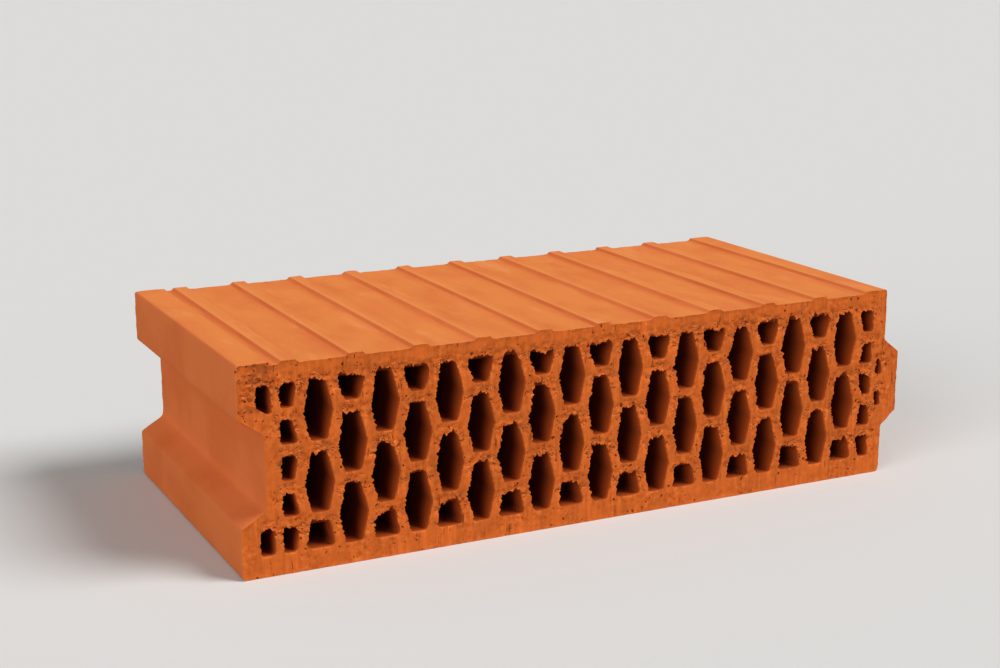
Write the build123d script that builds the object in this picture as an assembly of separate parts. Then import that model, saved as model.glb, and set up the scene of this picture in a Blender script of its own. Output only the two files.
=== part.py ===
from build123d import *
import os
from math import atan2, cos, floor, tan

# Hollow partition block of fired clay: one extruded section, cut off by wire at both ends of its run.
# It lies on a wall face. X runs from the groove end to the tongue end, Y is the way of extrusion, Z is up.
# The origin is the middle of the lower wall face, halfway between the two end faces. Sizes are in mm.

# Overall sizes
length = 497.0  # from end face to end face, without the tongue
cut_length = 238.0  # from one wire-cut face to the other
thickness = 140.0  # from the lower wall face to the tops of the ribs

# Walls between the cells
wall_shell = 14.0  # wall face to cell, under the flats between the ribs
row_web = 9.0  # between two cells of one column
column_web = 8.6  # along X between two columns
cell_round = 2.0  # corner radius of the cells, apart from the blunt corners at a full cell's waist

# Honeycomb cells: a full cell is two rows tall, and a column starts with a full cell or with a half one
rows = 5
cell_width = 19.4
cell_tip = 10.7  # flat top and bottom of a full cell
least_end_cell = 5.0  # an end cell is at least this wide, on its narrow side

# Groove end, with two lips, and tongue end
lip_height = 33.8  # wall face to the groove's mouth
flank_fall = 10.2  # narrowing of tongue and groove, on each side
tongue_reach = 12.8
joint_play = 2.2  # between tongue and groove, on each side
joint_gap = 4.0  # between the tongue's tip and the groove's floor
joint_round = 5.0  # hollow corners at the groove's floor and the tongue's root
edge_round = 1.5  # outer corners of the section
lip_shell = 12.5  # end face to lip cell
lip_cell = 9.5
lip_web = 6.0  # lip cell to end cells
lip_wall = 12.0  # groove flank to lip cell
end_shell = 11.5  # end face to end cells, at the tongue end
slot_web = 5.0  # end cells to tongue slots
slot_width = 5.0
slot_height = 11.0

# Ribs of the upper wall face, which key the plaster
rib_height = 2.0
rib_top = 9.6
rib_flank = 1.6  # run of a flank, along X
rib_pitch = 44.7
groove_strip = 22.0  # raised strip along the groove end, at its top
tongue_strip = 19.5  # raised strip along the tongue end, at its top
first_flat = 4.0  # groove strip to first rib, and the least from the last rib to the tongue strip
rib_round = 0.6  # shoulders of ribs and strips
rib_cove = 3.0  # hollow roots of ribs and strips
rib_start = groove_strip + rib_flank + first_flat + rib_flank + rib_top / 2  # middle of the first rib

# Levels and rows
flat_level = thickness - rib_height
mid_level = flat_level / 2
cells_top = flat_level - wall_shell
row_height = (cells_top - wall_shell - (rows - 1) * row_web) / rows
row_pitch = row_height + row_web
cell_height = row_height + row_pitch
side_slope = (cell_width - cell_tip) / cell_height
row_widening = 2 * side_slope * row_height

# Ends and columns: the two end columns share the length that whole columns leave
groove_end = -length / 2
tongue_end = length / 2
lip_side = groove_end + lip_shell
left_side = lip_side + lip_cell + lip_web
right_side = tongue_end - end_shell
column_pitch = cell_width - side_slope * row_pitch + column_web
column_room = right_side - left_side - cell_tip - 2 * column_web
column_steps = floor((column_room - 2 * least_end_cell - row_widening) / column_pitch)
end_cell = (column_room - column_steps * column_pitch) / 2
first_column = left_side + end_cell + column_web + cell_tip / 2

# Groove between its lips, and the tongue that fits it
groove_mouth = flat_level - 2 * lip_height
groove_floor = groove_mouth - 2 * flank_fall
groove_depth = tongue_reach + joint_gap
tongue_base = groove_mouth - 2 * joint_play
tongue_tip = tongue_base - 2 * flank_fall


def row_top(row):
    """Level of the top of a row, counted from the upper wall face."""
    return cells_top - row * row_pitch


def rounded(face, points, radius):
    """A face with its corners at these points rounded."""
    return fillet([face.vertices().sort_by_distance(Vector(*point))[0] for point in points], radius)


def cell(points, blunt=()):
    """One cell of the section, with its corners rounded, apart from blunt ones."""
    shape = make_face(Polyline(*points, close=True))
    return rounded(shape, [point for point in points if point not in blunt], cell_round)


def honeycomb_cell(x, row):
    """A cell whose narrow top is in this row and whose narrow bottom is in the next.

    Where the shell takes one of the two rows, the cell is the half that is left, widest at the shell.
    """
    tip = cell_tip / 2
    cut = tip + row_widening / 2
    top = row_top(row)
    bottom = row_top(row + 1) - row_height
    if row < 0:
        top = row_top(0)
        return cell([(x - cut, top), (x + cut, top), (x + tip, bottom), (x - tip, bottom)])
    if row + 1 == rows:
        bottom = row_top(row) - row_height
        return cell([(x - tip, top), (x + tip, top), (x + cut, bottom), (x - cut, bottom)])
    left = (x - cell_width / 2, (top + bottom) / 2)
    right = (x + cell_width / 2, (top + bottom) / 2)
    points = [(x - tip, top), (x + tip, top), right, (x + tip, bottom), (x - tip, bottom), left]
    return cell(points, blunt=(left, right))


def honeycomb():
    """All columns of cells. Odd columns are half a cell higher than even ones."""
    cells = []
    for column in range(column_steps + 1):
        x = first_column + column * column_pitch
        for row in range(-(column % 2), rows, 2):
            cells.append(honeycomb_cell(x, row))
    return cells


def end_column(straight_side, toward, neighbour):
    """Cells with one straight side, whose other side keeps its web to the neighbouring column."""
    cells = []
    for row in range(rows):
        top = row_top(row)
        bottom = top - row_height
        wide = straight_side + toward * end_cell
        narrow = wide - toward * row_widening / 2
        tip_up = (row + neighbour) % 2 == 0
        upper = (wide if tip_up else narrow, top)
        lower = (narrow if tip_up else wide, bottom)
        cells.append(cell([(straight_side, top), upper, lower, (straight_side, bottom)]))
    return cells


def lip_cells():
    """One cell in each lip of the groove, with its slanted side along the groove's flank."""
    fall = flank_fall / groove_depth
    wall = lip_wall / cos(atan2(fall, 1))
    outer = groove_mouth / 2 - fall * lip_shell + wall
    inner = outer - fall * lip_cell
    far = lip_side + lip_cell
    reach = cells_top - mid_level
    cells = []
    for side in (1, -1):
        shape = [(lip_side, reach), (far, reach), (far, inner), (lip_side, outer)]
        cells.append(cell([(x, mid_level + side * z) for x, z in shape]))
    return cells


def tongue_slots():
    """Two narrow slots behind the tongue, level with the webs of the end cells."""
    x = right_side + slot_web + slot_width / 2
    slot = SlotOverall(slot_height, slot_width, rotation=90)
    return [Pos(x, mid_level + side * row_pitch / 2) * slot for side in (1, -1)]


def rib_middles():
    """Places of the ribs along X, as many as fit clear of the raised strip at the tongue end."""
    room = length - rib_start - rib_top / 2 - rib_flank - first_flat - rib_flank - tongue_strip
    return [groove_end + rib_start + n * rib_pitch for n in range(floor(room / rib_pitch) + 1)]


def upper_wall():
    """Upper edge of the section, from the groove end on: flats, ribs and two raised strips."""
    half = rib_top / 2
    points = [(groove_end, thickness), (groove_end + groove_strip, thickness)]
    points.append((groove_end + groove_strip + rib_flank, flat_level))
    for x in rib_middles():
        points += [(x - half - rib_flank, flat_level), (x - half, thickness)]
        points += [(x + half, thickness), (x + half + rib_flank, flat_level)]
    points.append((tongue_end - tongue_strip - rib_flank, flat_level))
    points += [(tongue_end - tongue_strip, thickness), (tongue_end, thickness)]
    return points


def outline():
    """Outer edge of the section, with the groove, the tongue, the ribs and their rounded corners."""
    tip = tongue_end + tongue_reach
    floor_side = groove_end + groove_depth
    tongue = [
        (tongue_end, mid_level + tongue_base / 2),
        (tip, mid_level + tongue_tip / 2),
        (tip, mid_level - tongue_tip / 2),
        (tongue_end, mid_level - tongue_base / 2),
    ]
    groove = [
        (groove_end, mid_level - groove_mouth / 2),
        (floor_side, mid_level - groove_floor / 2),
        (floor_side, mid_level + groove_floor / 2),
        (groove_end, mid_level + groove_mouth / 2),
    ]
    corners = [(groove_end, 0), (tongue_end, 0), (tongue_end, thickness), (groove_end, thickness)]
    wall = upper_wall()
    upper_run = [*reversed(tongue), *reversed(wall), *reversed(groove)]
    edge = make_face(Polyline(*corners[:2], *upper_run, close=True))
    cove = min(rib_cove, 0.45 * first_flat / tan(atan2(rib_height, rib_flank) / 2))
    rounds = [
        (joint_round, [tongue[0], tongue[3], groove[1], groove[2]]),
        (edge_round, corners + [tongue[1], tongue[2], groove[0], groove[3]]),
        (rib_round, [point for point in wall[1:-1] if point[1] == thickness]),
        (cove, [point for point in wall if point[1] == flat_level]),
    ]
    for radius, points in rounds:
        edge = rounded(edge, points, radius)
    return edge


def section():
    """The block's section, with every cell cut out of its outline."""
    cells = honeycomb()
    cells += end_column(left_side, 1, 0)
    cells += end_column(right_side, -1, column_steps)
    cells += lip_cells()
    cells += tongue_slots()
    return outline() - cells


def clay_block():
    """The section, drawn upright and extruded to both sides of the middle."""
    return extrude(Plane.XZ * section(), amount=cut_length / 2, both=True)


os.makedirs("parts", exist_ok=True)
export_step(clay_block(), "parts/clay_block.step")
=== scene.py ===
"""Looks of a hollow fired-clay partition block: torn wire-cut ends, and a smooth extruded skin."""

import logging
import math
from dataclasses import dataclass
from enum import Enum
from functools import reduce
from typing import Any

import bpy
import numpy as np
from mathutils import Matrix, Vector
from mathutils.geometry import delaunay_2d_cdt
from mathutils.kdtree import KDTree


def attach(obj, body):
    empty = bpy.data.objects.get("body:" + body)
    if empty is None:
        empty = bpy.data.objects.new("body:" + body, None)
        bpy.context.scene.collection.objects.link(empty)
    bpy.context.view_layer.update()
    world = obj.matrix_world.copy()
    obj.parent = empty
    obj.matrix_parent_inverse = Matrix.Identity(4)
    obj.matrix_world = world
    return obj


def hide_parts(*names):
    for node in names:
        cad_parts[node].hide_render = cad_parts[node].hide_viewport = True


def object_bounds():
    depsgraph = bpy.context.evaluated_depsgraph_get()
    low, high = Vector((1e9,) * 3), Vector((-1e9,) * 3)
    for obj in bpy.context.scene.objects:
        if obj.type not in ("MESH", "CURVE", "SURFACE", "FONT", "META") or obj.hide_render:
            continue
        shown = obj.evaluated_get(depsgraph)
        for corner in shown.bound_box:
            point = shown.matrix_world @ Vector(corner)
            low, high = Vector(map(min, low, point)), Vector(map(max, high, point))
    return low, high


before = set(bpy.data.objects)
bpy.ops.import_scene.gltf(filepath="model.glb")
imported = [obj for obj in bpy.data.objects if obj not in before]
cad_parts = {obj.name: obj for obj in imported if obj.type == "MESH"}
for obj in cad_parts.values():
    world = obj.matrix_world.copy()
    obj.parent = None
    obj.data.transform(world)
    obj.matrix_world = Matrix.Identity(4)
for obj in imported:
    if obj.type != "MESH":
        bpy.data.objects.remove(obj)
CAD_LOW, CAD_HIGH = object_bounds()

MM = 0.001
Colour = tuple[float, float, float]
Triple = tuple[float, float, float]
Span = tuple[float, ...]
Socket = bpy.types.NodeSocket

log = logging.getLogger("clay_block")


def linked(name: str, data: bpy.types.ID) -> bpy.types.Object:
    """Makes an object and links it to the scene.

    Args:
        name: The object's name.
        data: Its mesh, curve, light or camera.

    Returns:
        The object.
    """
    made = bpy.data.objects.new(name, data)
    bpy.context.scene.collection.objects.link(made)
    return made


class Carving(Enum):
    """What one solid does to another."""

    CUT_AWAY = "DIFFERENCE"
    ADD_ON = "UNION"


class CutSide(Enum):
    """The two wire-cut faces."""

    FRONT = "front"
    BACK = "back"


class InputKind(Enum):
    """Kinds of named input that a node tree takes."""

    SHAPE = "NodeSocketGeometry"
    LENGTH = "NodeSocketFloat"
    COUNT = "NodeSocketInt"
    OBJECT = "NodeSocketObject"
    MATERIAL = "NodeSocketMaterial"


class Mark(Enum):
    """Marks on the mesh that tell the finish what is where."""

    CUT = "wire_cut"
    CELL = "cell_wall"
    PIT = "pit"
    CRUMBLED = "crumbled"
    HANGING = "hanging"

    @property
    def domain(self) -> str:
        """Where the mark is kept: on corners if it fades, and otherwise on faces."""
        return "CORNER" if self in (Mark.CRUMBLED, Mark.HANGING) else "FACE"


class Graph:
    """A node tree under construction, linked as its nodes are added."""

    def __init__(self, tree: bpy.types.NodeTree) -> None:
        """Empties a tree. Its place, on which its noise is laid, is set by whoever uses it.

        Args:
            tree: The tree.
        """
        self.tree = tree
        self.tree.nodes.clear()
        self.place: Socket | None = None

    def feed(self, socket: Socket, value: Any) -> None:
        """Links a socket, or sets it to a plain value.

        Args:
            socket: The input to fill.
            value: A socket, a node whose first output is meant, a list of those, or a plain value.
        """
        for source in value if isinstance(value, list) else [value]:
            if isinstance(source, bpy.types.Node):
                source = source.outputs[0]
            if isinstance(source, Socket):
                self.tree.links.new(source, socket)
            else:
                socket.default_value = source

    def node(self, kind: str, inputs: dict[str | int, Any] | None = None, **settings: Any) -> bpy.types.Node:
        """Adds a node.

        Args:
            kind: Blender's name of the node type.
            inputs: Values or sources of its inputs, by name or number.
            settings: Properties of the node.

        Returns:
            The node.
        """
        made = self.tree.nodes.new(kind)
        for name, value in settings.items():
            setattr(made, name, value)
        for key, value in (inputs or {}).items():
            self.feed(made.inputs[key], value)
        return made

    def math(self, operation: str, *values: Any, clamp: bool = False) -> Socket:
        """Returns the result of a sum on numbers."""
        inputs = dict(enumerate(values))
        return self.node("ShaderNodeMath", inputs, operation=operation, use_clamp=clamp).outputs[0]

    def plus(self, *values: Any) -> Socket:
        """Returns numbers added up in order."""
        return reduce(lambda total, value: self.math("ADD", total, value), values)

    def minus(self, first: Any, second: Any) -> Socket:
        """Returns one number less another."""
        return self.math("SUBTRACT", first, second)

    def times(self, *values: Any) -> Socket:
        """Returns numbers multiplied in order."""
        return reduce(lambda total, value: self.math("MULTIPLY", total, value), values)

    def vector(self, operation: str, *values: Any) -> Socket:
        """Returns the vector result of a sum on vectors."""
        return self.node("ShaderNodeVectorMath", dict(enumerate(values)), operation=operation).outputs[0]

    def scaled(self, vector: Any, factor: Any) -> Socket:
        """Returns a vector times a number."""
        return self.node("ShaderNodeVectorMath", {0: vector, "Scale": factor}, operation="SCALE").outputs[0]

    def axes(self, vector: Any) -> tuple[Socket, Socket, Socket]:
        """Returns the three parts of a vector."""
        split = self.node("ShaderNodeSeparateXYZ", {0: vector})
        return split.outputs[0], split.outputs[1], split.outputs[2]

    def ramp(self, value: Any, low: float, high: float, start: float = 0.0, end: float = 1.0) -> Socket:
        """Adds a smooth clamped step.

        Args:
            value: What is mapped.
            low: Value at which the step starts.
            high: Value at which it ends.
            start: Result at and before low.
            end: Result at and past high.

        Returns:
            The mapped value.
        """
        inputs = {"Value": value, "From Min": low, "From Max": high, "To Min": start, "To Max": end}
        return self.node("ShaderNodeMapRange", inputs, interpolation_type="SMOOTHSTEP").outputs[0]

    def blend(self, factor: Any, first: Any, second: Any) -> Socket:
        """Returns a mix of two colours, which are sockets or plain colours."""
        first, second = (side if isinstance(side, Socket) else (*side, 1.0) for side in (first, second))
        return self.node("ShaderNodeMix", {0: factor, 6: first, 7: second}, data_type="RGBA").outputs[2]

    def normal(self) -> Socket:
        """Returns which way the geometry faces."""
        return self.node("GeometryNodeInputNormal").outputs[0]

    def mark(self, mark: Mark) -> Socket:
        """Returns a mark of the geometry."""
        kind = "GeometryNodeInputNamedAttribute"
        return self.node(kind, {"Name": mark.value}, data_type="FLOAT").outputs[0]


@dataclass(frozen=True)
class Grain:
    """A noise in the clay, about 0.5 on average, and the spots that show where it is high.

    Attributes:
        size: Width of its largest features in metres.
        detail: Octaves past the first.
        roughness: Share of each octave in the next.
        stretch: Factors on X, Y and Z, under 1 where its features are drawn out.
        spread: Noise at which spots start and are full, then their least and most value, if not 0 and 1.
    """

    size: float
    detail: float = 2.0
    roughness: float = 0.5
    stretch: Triple = (1.0, 1.0, 1.0)
    spread: Span = (0.0, 1.0)

    def noise(self, g: Graph) -> Socket:
        """Adds the noise.

        Args:
            g: Nodes of a material or a shape.

        Returns:
            The noise.
        """
        drawn_out = self.stretch != (1.0, 1.0, 1.0)
        place = g.vector("MULTIPLY", g.place, self.stretch) if drawn_out else g.place
        inputs = {"Scale": 1.0 / self.size, "Detail": self.detail, "Roughness": self.roughness}
        return g.node("ShaderNodeTexNoise", {"Vector": place, **inputs}).outputs[0]

    def spots(self, g: Graph) -> Socket:
        """Returns the spots."""
        return g.ramp(self.noise(g), *self.spread)

    def swing(self, g: Graph, width: Any) -> Socket:
        """Returns the noise about 0 instead, times a width."""
        return g.times(g.minus(self.noise(g), 0.5), width)


@dataclass(frozen=True)
class RibRow:
    """Ribs of the upper wall face: X of the left shoulder of one, and the distance from each to the next."""

    shoulder: float
    pitch: float


@dataclass
class Section:
    """Cross-section of the block as closed loops of (x, z) points, read from a cut face of its solid."""

    outline: np.ndarray
    cells: list[np.ndarray]

    WELD = 0.01 * MM
    SAME_LEVEL = 0.1 * MM
    RIB_GAP = 25 * MM

    @classmethod
    def of_node(cls, node: bpy.types.Object, cut_plane: float) -> "Section":
        """Reads the loops that bound a flat cut face.

        Args:
            node: The block's solid as loose triangles.
            cut_plane: Y of the face.

        Returns:
            The section, with its outline anticlockwise as seen from the front and its cells clockwise.
        """
        mesh = node.data
        mesh.calc_loop_triangles()
        points = np.array([vertex.co for vertex in mesh.vertices])
        triangles = np.array([triangle.vertices for triangle in mesh.loop_triangles])
        flat = np.all(np.abs(points[triangles][:, :, 1] - cut_plane) < cls.WELD, axis=1)
        places = [tuple(key) for key in np.round(points[:, [0, 2]] / cls.WELD).astype(int)]
        edges = {(places[t[i]], places[t[(i + 1) % 3]]) for t in triangles[flat] for i in range(3)}
        following = {start: end for start, end in edges if (end, start) not in edges}
        loops = []
        while following:
            start = min(following)
            loop = [start]
            while (place := following.pop(loop[-1])) != start:
                loop.append(place)
            loops.append(np.array(loop) * cls.WELD)
        loops.sort(key=lambda loop: -np.ptp(loop[:, 0]))
        return cls(loops[0], loops[1:])

    def ribs(self) -> RibRow:
        """Finds the ribs by their level tops, which are far apart.

        Returns:
            The row of ribs.
        """
        tops = np.abs(self.outline[:, 1] - self.outline[:, 1].max()) < self.SAME_LEVEL
        across = np.sort(self.outline[tops, 0])
        shoulders = across[1:][np.diff(across) > self.RIB_GAP]
        return RibRow(float(shoulders[0]), float(np.median(np.diff(shoulders))))

    @staticmethod
    def divided(loop: np.ndarray, step: float) -> np.ndarray:
        """Adds points along a loop.

        Args:
            loop: A closed loop of points.
            step: Most distance from one point to the next.

        Returns:
            The loop with its own points and those added.
        """
        pieces = []
        for start, end in zip(loop, np.roll(loop, -1, axis=0)):
            count = max(1, math.ceil(np.linalg.norm(end - start) / step))
            pieces.append(start + (end - start) * np.arange(count)[:, None] / count)
        return np.concatenate(pieces)

    @classmethod
    def corners(cls, loop: np.ndarray, *levels: float) -> np.ndarray:
        """Returns the leftmost and the rightmost point of a loop at each of these levels."""
        rows = [loop[np.abs(loop[:, 1] - level) < cls.SAME_LEVEL] for level in levels]
        return np.array([row[pick(row[:, 0])] for row in rows for pick in (np.argmin, np.argmax)])

    @staticmethod
    def encloses(loop: np.ndarray, points: np.ndarray) -> np.ndarray:
        """Tells which points lie within a loop.

        Args:
            loop: A closed loop of points.
            points: The points to test.

        Returns:
            A truth value for each point.
        """
        x, z = points.T
        within = np.zeros(len(points), bool)
        for (x0, z0), (x1, z1) in zip(loop, np.roll(loop, -1, axis=0)):
            if z0 != z1:
                within ^= ((z0 > z) != (z1 > z)) & (x < x0 + (x1 - x0) * (z - z0) / (z1 - z0))
        return within

    @staticmethod
    def distance(loops: list[np.ndarray], points: np.ndarray) -> np.ndarray:
        """Measures from points to the nearest point of some loops.

        Args:
            loops: The loops.
            points: The points to measure from.

        Returns:
            A distance for each point.
        """
        corners = np.concatenate(loops)
        tree = KDTree(len(corners))
        for index, (x, z) in enumerate(corners):
            tree.insert((x, 0.0, z), index)
        tree.balance()
        return np.array([tree.find((x, 0.0, z))[2] for x, z in points])


@dataclass(frozen=True)
class ExtrudedSkin:
    """Finish of the skin that the die leaves: soft blotches, faint streaks, a dusty paler tone with a painted
    sheen on what faces up, a painted highlight on the ribs' left shoulders, and painted shade to their left.
    """

    clay: Colour = (0.77, 0.192, 0.053)
    dark: Colour = (0.71, 0.160, 0.040)
    # Paler colour on what faces up: partly dusty clay, partly a painted sheen.
    dust_and_sheen: Colour = (0.81, 0.243, 0.058)
    pale: Colour = (0.87, 0.305, 0.090)
    blotch: Grain = Grain(60 * MM, 3.0, 0.55, spread=(0.34, 0.62))
    cloud: Grain = Grain(24 * MM, 3.0, 0.55, (1.0, 0.5, 1.0), (0.30, 0.64, 0.35, 1.0))
    drift: Grain = Grain(20 * MM, 3.0, 0.55, (1.0, 0.3, 1.0))
    streak: Grain = Grain(7.0 * MM, 2.0, 0.5, (1.0, 0.06, 1.0))
    fine: Grain = Grain(1.1 * MM, 2.0, 0.6)
    level: Span = (0.9, 0.99)
    pale_drift: Span = (0.56, 0.72, 0.0, 0.6)
    # Strength of the painted shade left of the ribs, less where the skin is dusty.
    rib_shade_drift: Span = (0.38, 0.6, 0.9, 0.25)
    # Pale band on each rib's left shoulder: partly wear, partly a painted highlight.
    shoulder_wear_and_highlight: Span = (0.88, 0.98, 0.0, 0.5)
    # Painted shade left of each rib, in the skin's dark colour: where it starts and how far it reaches.
    rib_shade_start: float = 0.03
    rib_shade_reach: float = 10 * MM
    streak_shade: Span = (0.3, 0.7, 0.985, 1.015)
    fine_shade: Span = (0.3, 0.7, 0.975, 1.025)
    streak_relief: float = 0.08 * MM
    fine_relief: float = 0.05 * MM

    def tone(self, g: Graph, upward: Socket, ribs: RibRow) -> tuple[Socket, Socket]:
        """Adds the skin's nodes.

        Args:
            g: The material's nodes.
            upward: How far the surface faces up, from -1 to 1.
            ribs: The ribs, whose left shoulders are worn pale with a painted highlight, and which have
                painted shade on their left, over the flank and the flat beside it.

        Returns:
            Its colour, and its height in metres.
        """
        streak, fine, drift = (grain.noise(g) for grain in (self.streak, self.fine, self.drift))
        level = g.ramp(upward, *self.level)
        tone = g.blend(self.blotch.spots(g), self.dark, self.clay)
        # Dusty paler tone with a painted sheen on what faces up.
        tone = g.blend(g.times(level, self.cloud.spots(g)), tone, self.dust_and_sheen)
        tone = g.blend(g.times(g.ramp(drift, *self.pale_drift), level), tone, self.pale)
        beside = g.math("DIVIDE", g.minus(ribs.shoulder, g.axes(g.place)[0]), ribs.pitch)
        beside = g.math("FRACT", beside)
        # Left rib shoulders worn pale, with a painted highlight.
        tone = g.blend(g.times(g.ramp(beside, *self.shoulder_wear_and_highlight), level), tone, self.pale)
        # Painted shade on the flank and flat left of each rib.
        rib_shade = g.times(g.ramp(beside, self.rib_shade_start, self.rib_shade_reach / ribs.pitch, 1.0, 0.0), level)
        tone = g.blend(g.times(rib_shade, g.ramp(drift, *self.rib_shade_drift)), tone, self.dark)
        shade = g.times(g.ramp(streak, *self.streak_shade), g.ramp(fine, *self.fine_shade))
        height = g.plus(g.times(streak, self.streak_relief), g.times(fine, self.fine_relief))
        return g.scaled(tone, shade), height


@dataclass(frozen=True)
class TornClay:
    """Finish of the torn clay on the cut ends: mottling, drag lines, grits, and flakes above the cells, with
    painted shade in cracks and under flake edges and a painted highlight on the edges.
    """

    clay: Colour = (0.74, 0.152, 0.023)
    dark: Colour = (0.56, 0.087, 0.008)
    pale: Colour = (0.88, 0.268, 0.064)
    dirt: Colour = (0.47, 0.110, 0.024)
    grit: Colour = (0.84, 0.270, 0.060)
    # Dark colour painted into cracks, scratches and under flake edges: painted shade.
    gap: Colour = (0.22, 0.028, 0.005)
    mottle: Grain = Grain(3.6 * MM, 3.0, 0.55)
    rough: Grain = Grain(20 * MM, spread=(0.44, 0.64, 0.3, 1.0))
    drag: Grain = Grain(2.6 * MM, 3.0, 0.62, (1.0, 1.0, 0.05))
    dragged: Grain = Grain(26 * MM, spread=(0.38, 0.60, 0.3, 1.0))
    patch: Grain = Grain(15 * MM, 3.0, 0.55, spread=(0.3, 0.7, 0.90, 1.09))
    flaw: Grain = Grain(3.2 * MM, stretch=(0.6, 1.0, 1.0), spread=(0.68, 0.75))
    scratch: Grain = Grain(2.1 * MM, stretch=(1.0, 1.0, 0.17), spread=(0.67, 0.74))
    dirty: Grain = Grain(6 * MM, 3.0, 0.6, spread=(0.40, 0.62, 0.0, 0.55))
    loose: Grain = Grain(6 * MM, spread=(0.46, 0.58))
    flake_edge: Grain = Grain(5.0 * MM, 3.0, 0.6)
    dark_mottle: Span = (0.30, 0.54, 1.0, 0.0)
    pale_mottle: Span = (0.54, 0.72, 0.0, 0.6)
    hanging_rough: float = 0.7
    hanging_flaws: float = 0.05
    grit_gap: float = 2.3 * MM
    grit_rim: Span = (0.25, 0.5, 0.8, 0.0)
    grit_mottle: float = 0.3
    grit_rarity: float = 0.993
    crumbled_grits: float = 0.05
    flake_height: float = 3.4 * MM
    flake_wave: float = 5.0
    # Painted shade just under each flake's edge.
    flake_shade_band: Span = (0.72, 0.88)
    # Painted highlight on each flake's edge.
    flake_highlight_band: Span = (0.05, 0.35, 0.6, 0.0)
    loose_hanging: Span = (0.1, 0.6)
    # Share of the painted shade in cracks, scratches and under flake edges.
    gap_shade_share: float = 0.85
    drag_shade: float = 1.1
    mottle_relief: float = 0.36 * MM
    drag_relief: float = 0.6 * MM
    flaw_relief: float = 0.35 * MM
    flake_relief: float = 0.3 * MM

    def grits(self, g: Graph, mottle: Socket, crumbled: Socket) -> Socket:
        """Adds rare pale grits, less rare where the clay is crumbled.

        Args:
            g: The material's nodes.
            mottle: Noise that roughens their edges.
            crumbled: How far the clay is crumbled there, from 0 to 1.

        Returns:
            How much of a grit shows.
        """
        spread = g.node("ShaderNodeTexVoronoi", {"Vector": g.place, "Scale": 1.0 / self.grit_gap})
        chance = g.axes(spread.outputs["Color"])[0]
        rarity = g.math("MULTIPLY_ADD", crumbled, -self.crumbled_grits, self.grit_rarity)
        near = g.math("MULTIPLY_ADD", mottle, self.grit_mottle, spread.outputs["Distance"])
        return g.times(g.ramp(near, *self.grit_rim), g.math("GREATER_THAN", chance, rarity))

    def flakes(self, g: Graph, hanging: Socket) -> tuple[Socket, Socket]:
        """Adds loose flakes that lie one over another above the cells.

        Args:
            g: The material's nodes.
            hanging: How near the clay is above a cell, from 0 to 1.

        Returns:
            How far up a flake a place is, and how loose the flakes are there, both from 0 to 1.
        """
        level = g.math("DIVIDE", g.axes(g.place)[2], self.flake_height)
        wave = g.math("MULTIPLY_ADD", self.flake_edge.noise(g), self.flake_wave, level)
        loose = g.times(g.ramp(hanging, *self.loose_hanging), self.loose.spots(g))
        return g.math("FRACT", wave), loose

    def tone(self, g: Graph, crumbled: Socket, hanging: Socket) -> tuple[Socket, Socket]:
        """Adds the torn clay's nodes.

        Args:
            g: The material's nodes.
            crumbled: How far the clay is crumbled there, from 0 to 1.
            hanging: How near it is above a cell, from 0 to 1.

        Returns:
            Its colour, and its height in metres.
        """
        mottle = self.mottle.noise(g)
        rough = g.math("MAXIMUM", self.rough.spots(g), g.times(hanging, self.hanging_rough))
        rough = g.math("MAXIMUM", rough, crumbled)
        dragged = self.dragged.spots(g)
        lines = self.drag.swing(g, dragged)
        flaw = g.math("MULTIPLY_ADD", hanging, self.hanging_flaws, self.flaw.noise(g))
        scratch = g.times(self.scratch.spots(g), dragged)
        flaw = g.math("MAXIMUM", g.ramp(flaw, *self.flaw.spread), scratch)
        flake, loose = self.flakes(g, hanging)
        # Painted shade under the flake edges.
        flake_shade = g.times(g.ramp(flake, *self.flake_shade_band), loose)
        tone = g.blend(g.times(g.ramp(mottle, *self.dark_mottle), rough), self.clay, self.dark)
        tone = g.blend(g.times(g.ramp(mottle, *self.pale_mottle), rough), tone, self.pale)
        tone = g.blend(g.times(crumbled, self.dirty.spots(g)), tone, self.dirt)
        tone = g.blend(self.grits(g, mottle, crumbled), tone, self.grit)
        # Painted highlight on the flake edges.
        tone = g.blend(g.times(g.ramp(flake, *self.flake_highlight_band), loose), tone, self.pale)
        # Painted shade in cracks, scratches and under flake edges.
        tone = g.blend(g.times(g.math("MAXIMUM", flaw, flake_shade), self.gap_shade_share), tone, self.gap)
        shade = g.times(g.math("MULTIPLY_ADD", lines, self.drag_shade, 1.0), self.patch.spots(g))
        relief = g.plus(g.times(mottle, rough, self.mottle_relief), g.times(lines, self.drag_relief))
        relief = g.minus(relief, g.times(flaw, self.flaw_relief))
        relief = g.minus(relief, g.times(flake, loose, self.flake_relief))
        return g.scaled(tone, shade), relief


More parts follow.
